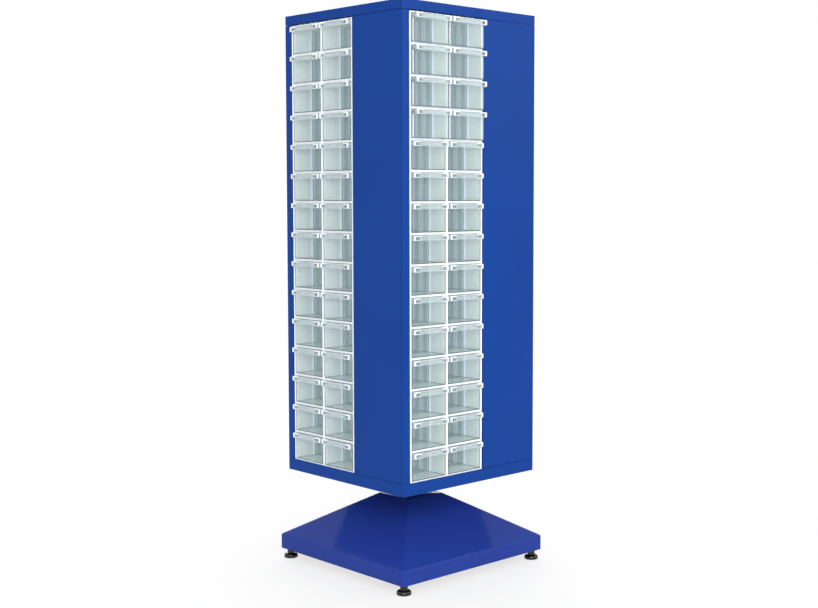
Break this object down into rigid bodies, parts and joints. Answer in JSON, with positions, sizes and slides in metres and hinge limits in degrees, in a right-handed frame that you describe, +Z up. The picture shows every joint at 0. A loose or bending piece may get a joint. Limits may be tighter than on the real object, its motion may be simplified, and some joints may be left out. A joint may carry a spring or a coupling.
{
  "type": "rotary filing cabinet",
  "caption": "Tall square sheet-steel tower that turns on a low pyramid base, each face filled with clear pull-out drawers for small parts.",
  "frame": {"origin": "on the floor under the spin axis, the centre of the base's footprint", "axes": "+Z up along the spin axis; -Y is the front face, whose drawers are separate bodies; +X to the right of it"},
  "size_m": [0.54, 0.54, 1.555],
  "materials": {
    "blue_steel": "semi-gloss powder coat, deep blue",
    "base_blue": "gloss powder coat, deep blue",
    "grey_steel": "plain painted steel, hidden",
    "bright_steel": "machined or zinc-plated steel",
    "bearing_plastic": "natural bearing plastic",
    "black_plastic": "glossy black",
    "white_plastic": "glossy white",
    "clear_plastic": "clear, slightly frosted"
  },
  "bodies": {
    "base": {"base_shell": "base_blue", "base_underframe": "grey_steel", "foot_locknuts": "bright_steel", "spindle_housing": "grey_steel", "lower_bush": "bearing_plastic", "upper_bush": "bearing_plastic", "thrust_washer": "bearing_plastic"},
    "tower": {"spindle": "bright_steel", "spindle_nut": "bright_steel", "turntable_plate": "grey_steel", "turntable_bolts": "bright_steel", "tower_floor": "blue_steel", "tower_roof": "blue_steel", "corner_panel_front_left": "blue_steel", "corner_panel_front_right": "blue_steel", "corner_panel_back_right": "blue_steel", "corner_panel_back_left": "blue_steel", "inner_partitions": "grey_steel", "shelf_angles": "grey_steel", "drawer_housings": "white_plastic"},
    "levelling_foot_1": {"levelling_foot_1": "black_plastic"},
    "levelling_foot_2": {"levelling_foot_2": "black_plastic"},
    "levelling_foot_3": {"levelling_foot_3": "black_plastic"},
    "levelling_foot_4": {"levelling_foot_4": "black_plastic"},
    "drawer_01_left": {"drawer_01_left": "clear_plastic"},
    "drawer_02_left": {"drawer_02_left": "clear_plastic"},
    "drawer_03_left": {"drawer_03_left": "clear_plastic"},
    "drawer_04_left": {"drawer_04_left": "clear_plastic"},
    "drawer_05_left": {"drawer_05_left": "clear_plastic"},
    "drawer_06_left": {"drawer_06_left": "clear_plastic"},
    "drawer_07_left": {"drawer_07_left": "clear_plastic"},
    "drawer_08_left": {"drawer_08_left": "clear_plastic"},
    "drawer_09_left": {"drawer_09_left": "clear_plastic"},
    "drawer_10_left": {"drawer_10_left": "clear_plastic"},
    "drawer_11_left": {"drawer_11_left": "clear_plastic"},
    "drawer_12_left": {"drawer_12_left": "clear_plastic"},
    "drawer_13_left": {"drawer_13_left": "clear_plastic"},
    "drawer_14_left": {"drawer_14_left": "clear_plastic"},
    "drawer_15_left": {"drawer_15_left": "clear_plastic"},
    "drawer_01_right": {"drawer_01_right": "clear_plastic"},
    "drawer_02_right": {"drawer_02_right": "clear_plastic"},
    "drawer_03_right": {"drawer_03_right": "clear_plastic"},
    "drawer_04_right": {"drawer_04_right": "clear_plastic"},
    "drawer_05_right": {"drawer_05_right": "clear_plastic"},
    "drawer_06_right": {"drawer_06_right": "clear_plastic"},
    "drawer_07_right": {"drawer_07_right": "clear_plastic"},
    "drawer_08_right": {"drawer_08_right": "clear_plastic"},
    "drawer_09_right": {"drawer_09_right": "clear_plastic"},
    "drawer_10_right": {"drawer_10_right": "clear_plastic"},
    "drawer_11_right": {"drawer_11_right": "clear_plastic"},
    "drawer_12_right": {"drawer_12_right": "clear_plastic"},
    "drawer_13_right": {"drawer_13_right": "clear_plastic"},
    "drawer_14_right": {"drawer_14_right": "clear_plastic"},
    "drawer_15_right": {"drawer_15_right": "clear_plastic"},
    "drawers_right_left": {"drawers_right_left": "clear_plastic"},
    "drawers_right_right": {"drawers_right_right": "clear_plastic"},
    "drawers_back_left": {"drawers_back_left": "clear_plastic"},
    "drawers_back_right": {"drawers_back_right": "clear_plastic"},
    "drawers_left_left": {"drawers_left_left": "clear_plastic"},
    "drawers_left_right": {"drawers_left_right": "clear_plastic"}
  },
  "joints": [
    {"name": "tower_spin", "type": "hinge", "parent": "base", "child": "tower", "pos_m": [0, 0, 0.2376], "axis": [0, 0, 1], "continuous": true},
    {"name": "levelling_foot_1_screw", "type": "slide", "parent": "base", "child": "levelling_foot_1", "axis": [0, 0, 1], "range_m": [-0.012, 0]},
    {"name": "levelling_foot_2_screw", "type": "slide", "parent": "base", "child": "levelling_foot_2", "axis": [0, 0, 1], "range_m": [-0.012, 0]},
    {"name": "levelling_foot_3_screw", "type": "slide", "parent": "base", "child": "levelling_foot_3", "axis": [0, 0, 1], "range_m": [-0.012, 0]},
    {"name": "levelling_foot_4_screw", "type": "slide", "parent": "base", "child": "levelling_foot_4", "axis": [0, 0, 1], "range_m": [-0.012, 0]},
    {"name": "drawer_01_left_slide", "type": "slide", "parent": "tower", "child": "drawer_01_left", "axis": [0, -1, 0], "range_m": [-0.012, 0.138]},
    {"name": "drawer_02_left_slide", "type": "slide", "parent": "tower", "child": "drawer_02_left", "axis": [0, -1, 0], "range_m": [-0.012, 0.138]},
    {"name": "drawer_03_left_slide", "type": "slide", "parent": "tower", "child": "drawer_03_left", "axis": [0, -1, 0], "range_m": [-0.012, 0.138]},
    {"name": "drawer_04_left_slide", "type": "slide", "parent": "tower", "child": "drawer_04_left", "axis": [0, -1, 0], "range_m": [-0.012, 0.138]},
    {"name": "drawer_05_left_slide", "type": "slide", "parent": "tower", "child": "drawer_05_left", "axis": [0, -1, 0], "range_m": [0, 0.15]},
    {"name": "drawer_06_left_slide", "type": "slide", "parent": "tower", "child": "drawer_06_left", "axis": [0, -1, 0], "range_m": [0, 0.15]},
    {"name": "drawer_07_left_slide", "type": "slide", "parent": "tower", "child": "drawer_07_left", "axis": [0, -1, 0], "range_m": [0, 0.15]},
    {"name": "drawer_08_left_slide", "type": "slide", "parent": "tower", "child": "drawer_08_left", "axis": [0, -1, 0], "range_m": [0, 0.15]},
    {"name": "drawer_09_left_slide", "type": "slide", "parent": "tower", "child": "drawer_09_left", "axis": [0, -1, 0], "range_m": [0, 0.15]},
    {"name": "drawer_10_left_slide", "type": "slide", "parent": "tower", "child": "drawer_10_left", "axis": [0, -1, 0], "range_m": [0, 0.15]},
    {"name": "drawer_11_left_slide", "type": "slide", "parent": "tower", "child": "drawer_11_left", "axis": [0, -1, 0], "range_m": [0, 0.15]},
    {"name": "drawer_12_left_slide", "type": "slide", "parent": "tower", "child": "drawer_12_left", "axis": [0, -1, 0], "range_m": [0, 0.15]},
    {"name": "drawer_13_left_slide", "type": "slide", "parent": "tower", "child": "drawer_13_left", "axis": [0, -1, 0], "range_m": [0, 0.15]},
    {"name": "drawer_14_left_slide", "type": "slide", "parent": "tower", "child": "drawer_14_left", "axis": [0, -1, 0], "range_m": [0, 0.15]},
    {"name": "drawer_15_left_slide", "type": "slide", "parent": "tower", "child": "drawer_15_left", "axis": [0, -1, 0], "range_m": [0, 0.15]},
    {"name": "drawer_01_right_slide", "type": "slide", "parent": "tower", "child": "drawer_01_right", "axis": [0, -1, 0], "range_m": [-0.012, 0.138]},
    {"name": "drawer_02_right_slide", "type": "slide", "parent": "tower", "child": "drawer_02_right", "axis": [0, -1, 0], "range_m": [-0.012, 0.138]},
    {"name": "drawer_03_right_slide", "type": "slide", "parent": "tower", "child": "drawer_03_right", "axis": [0, -1, 0], "range_m": [-0.012, 0.138]},
    {"name": "drawer_04_right_slide", "type": "slide", "parent": "tower", "child": "drawer_04_right", "axis": [0, -1, 0], "range_m": [-0.012, 0.138]},
    {"name": "drawer_05_right_slide", "type": "slide", "parent": "tower", "child": "drawer_05_right", "axis": [0, -1, 0], "range_m": [0, 0.15]},
    {"name": "drawer_06_right_slide", "type": "slide", "parent": "tower", "child": "drawer_06_right", "axis": [0, -1, 0], "range_m": [0, 0.15]},
    {"name": "drawer_07_right_slide", "type": "slide", "parent": "tower", "child": "drawer_07_right", "axis": [0, -1, 0], "range_m": [0, 0.15]},
    {"name": "drawer_08_right_slide", "type": "slide", "parent": "tower", "child": "drawer_08_right", "axis": [0, -1, 0], "range_m": [0, 0.15]},
    {"name": "drawer_09_right_slide", "type": "slide", "parent": "tower", "child": "drawer_09_right", "axis": [0, -1, 0], "range_m": [0, 0.15]},
    {"name": "drawer_10_right_slide", "type": "slide", "parent": "tower", "child": "drawer_10_right", "axis": [0, -1, 0], "range_m": [0, 0.15]},
    {"name": "drawer_11_right_slide", "type": "slide", "parent": "tower", "child": "drawer_11_right", "axis": [0, -1, 0], "range_m": [0, 0.15]},
    {"name": "drawer_12_right_slide", "type": "slide", "parent": "tower", "child": "drawer_12_right", "axis": [0, -1, 0], "range_m": [0, 0.15]},
    {"name": "drawer_13_right_slide", "type": "slide", "parent": "tower", "child": "drawer_13_right", "axis": [0, -1, 0], "range_m": [0, 0.15]},
    {"name": "drawer_14_right_slide", "type": "slide", "parent": "tower", "child": "drawer_14_right", "axis": [0, -1, 0], "range_m": [0, 0.15]},
    {"name": "drawer_15_right_slide", "type": "slide", "parent": "tower", "child": "drawer_15_right", "axis": [0, -1, 0], "range_m": [0, 0.15]},
    {"name": "drawers_right_left_slide", "type": "slide", "parent": "tower", "child": "drawers_right_left", "axis": [1, 0, 0], "range_m": [0, 0.15]},
    {"name": "drawers_right_right_slide", "type": "slide", "parent": "tower", "child": "drawers_right_right", "axis": [1, 0, 0], "range_m": [0, 0.15]},
    {"name": "drawers_back_left_slide", "type": "slide", "parent": "tower", "child": "drawers_back_left", "axis": [0, 1, 0], "range_m": [0, 0.15]},
    {"name": "drawers_back_right_slide", "type": "slide", "parent": "tower", "child": "drawers_back_right", "axis": [0, 1, 0], "range_m": [0, 0.15]},
    {"name": "drawers_left_left_slide", "type": "slide", "parent": "tower", "child": "drawers_left_left", "axis": [-1, 0, 0], "range_m": [0, 0.15]},
    {"name": "drawers_left_right_slide", "type": "slide", "parent": "tower", "child": "drawers_left_right", "axis": [-1, 0, 0], "range_m": [0, 0.15]}
  ]
}
